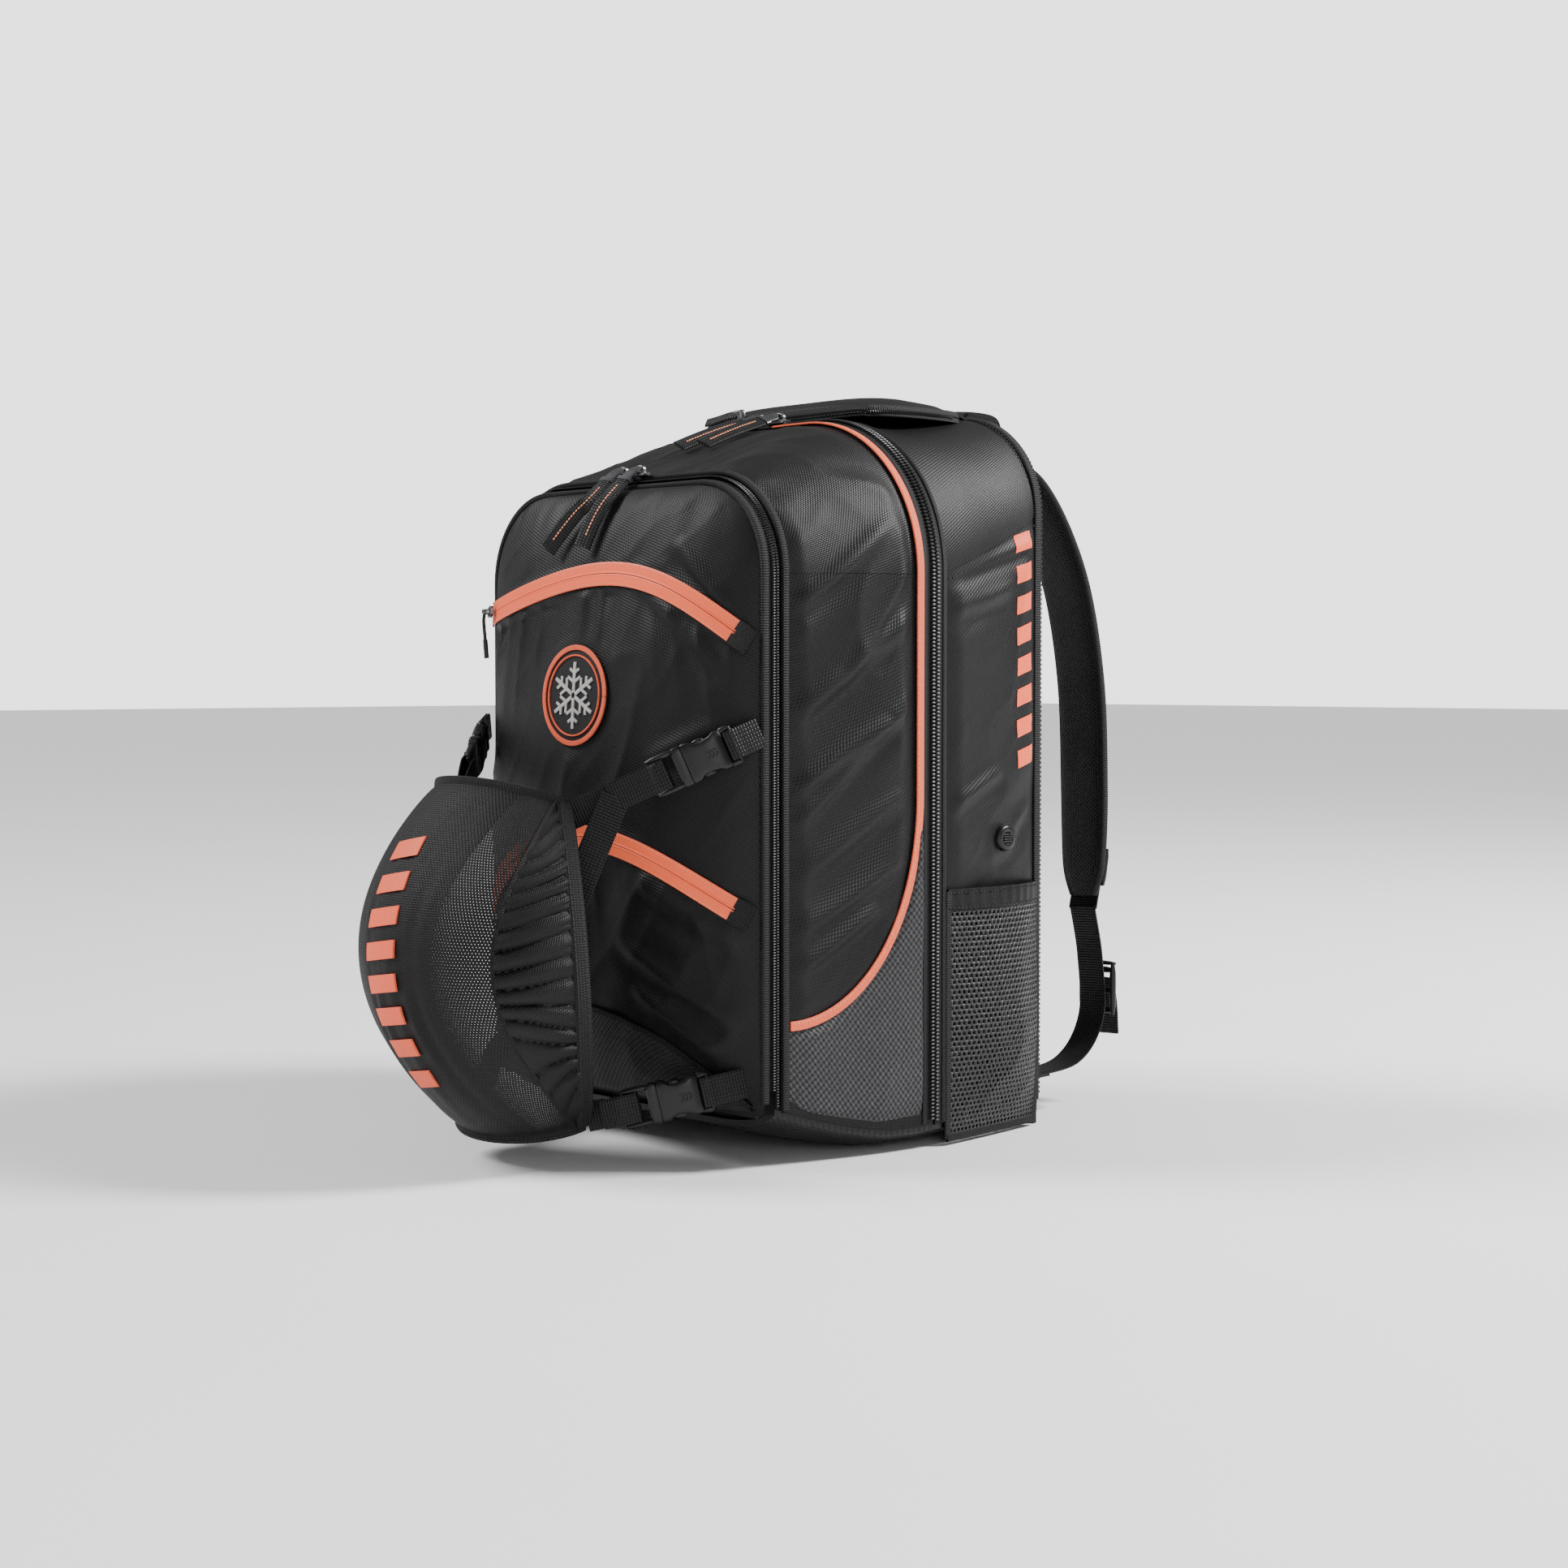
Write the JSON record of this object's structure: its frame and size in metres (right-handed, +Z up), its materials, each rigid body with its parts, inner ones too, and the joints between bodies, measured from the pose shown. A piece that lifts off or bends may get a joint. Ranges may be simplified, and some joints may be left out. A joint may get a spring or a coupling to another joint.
{
  "type": "ski boot bag",
  "caption": "Soft-sided boot backpack with a U-shaped main zip, domed front pocket, four-strap helmet net, mesh side pockets and padded shoulder straps.",
  "frame": {"origin": "centre of the footprint of the whole object, on the floor it stands on", "axes": "+Z up, +Y from the helmet net to the shoulder straps, +X to the right of someone facing the front pocket"},
  "size_m": [0.355, 0.5827, 0.5348],
  "materials": {
    "pack_fabric": "matt woven polyester with a diagonal twill",
    "gathered_fabric": "plain woven polyester, gathered",
    "ballistic_fabric": "coarse two-tone basket weave nylon",
    "coated_base": "tarpaulin-coated base cloth, satin",
    "zip_coil": "ribbed tape with nylon coil teeth",
    "coral_tape": "coral woven and coated tape",
    "emblem_thread": "embroidered patch",
    "air_mesh": "foam under spacer mesh",
    "pocket_mesh": "open knitted elastic mesh",
    "net_mesh": "fine see-through knitted net",
    "webbing": "ribbed polyester webbing",
    "buckle_plastic": "satin moulded acetal",
    "slider_metal": "gun-metal plated zinc"
  },
  "bodies": {
    "pack": {"rear_side_left": "pack_fabric", "rear_side_right": "pack_fabric", "rear_top": "pack_fabric", "main_zip_rear": "zip_coil", "rear_floor": "coated_base", "back_panel": "air_mesh", "side_pocket_left": "pocket_mesh", "side_pocket_right": "pocket_mesh", "vent_ring_left": "buckle_plastic", "vent_ring_right": "buckle_plastic", "shoulder_strap_left": "air_mesh", "shoulder_strap_right": "air_mesh", "strap_webbing_left": "webbing", "strap_webbing_right": "webbing"},
    "front_section": {"front_side_left": "pack_fabric", "front_side_right": "pack_fabric", "corner_panel_left": "ballistic_fabric", "corner_panel_right": "ballistic_fabric", "coral_piping_left": "coral_tape", "coral_piping_right": "coral_tape", "front_top": "pack_fabric", "main_zip_front": "zip_coil", "pocket_zip_rear": "zip_coil", "front_floor": "coated_base", "pocket_divider": "pack_fabric"},
    "front_pocket": {"pocket_face": "pack_fabric", "pocket_zip_front": "zip_coil", "coral_zip_upper": "coral_tape", "coral_zip_lower": "coral_tape", "emblem_patch": "emblem_thread", "helmet_net": "net_mesh", "net_gather_left": "gathered_fabric", "net_gather_right": "gathered_fabric", "buckle_sleeve_upper_left": "buckle_plastic", "buckle_sleeve_upper_right": "buckle_plastic", "buckle_sleeve_lower_left": "buckle_plastic", "buckle_sleeve_lower_right": "buckle_plastic", "net_webbing_upper_left": "webbing", "net_webbing_upper_right": "webbing", "net_webbing_lower_left": "webbing", "net_webbing_lower_right": "webbing"},
    "goggle_lid": {"goggle_pocket_lid": "pack_fabric"},
    "goggle_zip_slider": {"goggle_slider": "slider_metal"},
    "haul_handle": {"haul_handle": "webbing"},
    "coral_zip_slider": {"coral_slider": "slider_metal"},
    "main_slider_left": {"main_slider_left": "slider_metal"},
    "main_pull_left": {"main_pull_left": "webbing"},
    "pocket_slider_left": {"pocket_slider_left": "slider_metal"},
    "pocket_pull_left": {"pocket_pull_left": "webbing"},
    "ladder_lock_left": {"ladder_lock_left": "buckle_plastic"},
    "main_slider_right": {"main_slider_right": "slider_metal"},
    "main_pull_right": {"main_pull_right": "webbing"},
    "pocket_slider_right": {"pocket_slider_right": "slider_metal"},
    "pocket_pull_right": {"pocket_pull_right": "webbing"},
    "ladder_lock_right": {"ladder_lock_right": "buckle_plastic"},
    "buckle_plug_upper_left": {"buckle_plug_upper_left": "buckle_plastic"},
    "buckle_plug_lower_left": {"buckle_plug_lower_left": "buckle_plastic"},
    "buckle_plug_upper_right": {"buckle_plug_upper_right": "buckle_plastic"},
    "buckle_plug_lower_right": {"buckle_plug_lower_right": "buckle_plastic"}
  },
  "joints": [
    {"name": "front_opening", "type": "hinge", "parent": "pack", "child": "front_section", "pos_m": [0, 0.0486, 0], "axis": [1, 0, 0], "range_deg": [0, 90]},
    {"name": "pocket_opening", "type": "hinge", "parent": "front_section", "child": "front_pocket", "pos_m": [0, -0.08355, 0.036], "axis": [1, 0, 0], "range_deg": [0, 50]},
    {"name": "goggle_lid_hinge", "type": "hinge", "parent": "pack", "child": "goggle_lid", "pos_m": [0, 0.1566, 0.519], "axis": [-1, 0, 0], "range_deg": [0, 100]},
    {"name": "goggle_zip_slide", "type": "slide", "parent": "pack", "child": "goggle_zip_slider", "axis": [1, 0, 0], "range_m": [0, 0.09]},
    {"name": "haul_handle_swing", "type": "hinge", "parent": "pack", "child": "haul_handle", "pos_m": [0, 0.1969, 0.505], "axis": [1, 0, 0], "range_deg": [-60, 15]},
    {"name": "main_slide_left", "type": "slide", "parent": "front_section", "child": "main_slider_left", "axis": [-1, 0, 0], "range_m": [0, 0.045]},
    {"name": "main_pull_lift_left", "type": "hinge", "parent": "main_slider_left", "child": "main_pull_left", "pos_m": [-0.0097, 0.0412, 0.515], "axis": [-1, 0, 0], "range_deg": [0, 110]},
    {"name": "pocket_slide_left", "type": "slide", "parent": "front_pocket", "child": "pocket_slider_left", "axis": [-1, 0, 0], "range_m": [0, 0.045]},
    {"name": "pocket_pull_lift_left", "type": "hinge", "parent": "pocket_slider_left", "child": "pocket_pull_left", "pos_m": [-0.0095, -0.09255, 0.464], "axis": [-1, 0, 0], "range_deg": [0, 100]},
    {"name": "ladder_lock_tilt_left", "type": "hinge", "parent": "pack", "child": "ladder_lock_left", "pos_m": [-0.117, 0.2839, 0.107], "axis": [1, 0, 0], "range_deg": [0, 35]},
    {"name": "main_slide_right", "type": "slide", "parent": "front_section", "child": "main_slider_right", "axis": [1, 0, 0], "range_m": [0, 0.045]},
    {"name": "main_pull_lift_right", "type": "hinge", "parent": "main_slider_right", "child": "main_pull_right", "pos_m": [0.0097, 0.0412, 0.515], "axis": [-1, 0, 0], "range_deg": [0, 110]},
    {"name": "pocket_slide_right", "type": "slide", "parent": "front_pocket", "child": "pocket_slider_right", "axis": [1, 0, 0], "range_m": [0, 0.045]},
    {"name": "pocket_pull_lift_right", "type": "hinge", "parent": "pocket_slider_right", "child": "pocket_pull_right", "pos_m": [0.0095, -0.09255, 0.464], "axis": [-1, 0, 0], "range_deg": [0, 100]},
    {"name": "ladder_lock_tilt_right", "type": "hinge", "parent": "pack", "child": "ladder_lock_right", "pos_m": [0.117, 0.2839, 0.107], "axis": [1, 0, 0], "range_deg": [0, 35]},
    {"name": "buckle_release_upper_left", "type": "slide", "parent": "front_pocket", "child": "buckle_plug_upper_left", "axis": [0.6253, -0.6705, -0.3993], "range_m": [0, 0.02]},
    {"name": "buckle_release_lower_left", "type": "slide", "parent": "front_pocket", "child": "buckle_plug_lower_left", "axis": [0.6648, -0.7144, -0.2183], "range_m": [0, 0.02]},
    {"name": "buckle_release_upper_right", "type": "slide", "parent": "front_pocket", "child": "buckle_plug_upper_right", "axis": [-0.6253, -0.6705, -0.3993], "range_m": [0, 0.02]},
    {"name": "buckle_release_lower_right", "type": "slide", "parent": "front_pocket", "child": "buckle_plug_lower_right", "axis": [-0.6648, -0.7144, -0.2183], "range_m": [0, 0.02]},
    {"name": "coral_zip_slide", "type": "slide", "parent": "front_pocket", "child": "coral_zip_slider", "axis": [0.8951, -0.4285, 0.1231], "range_m": [0, 0.03]}
  ]
}
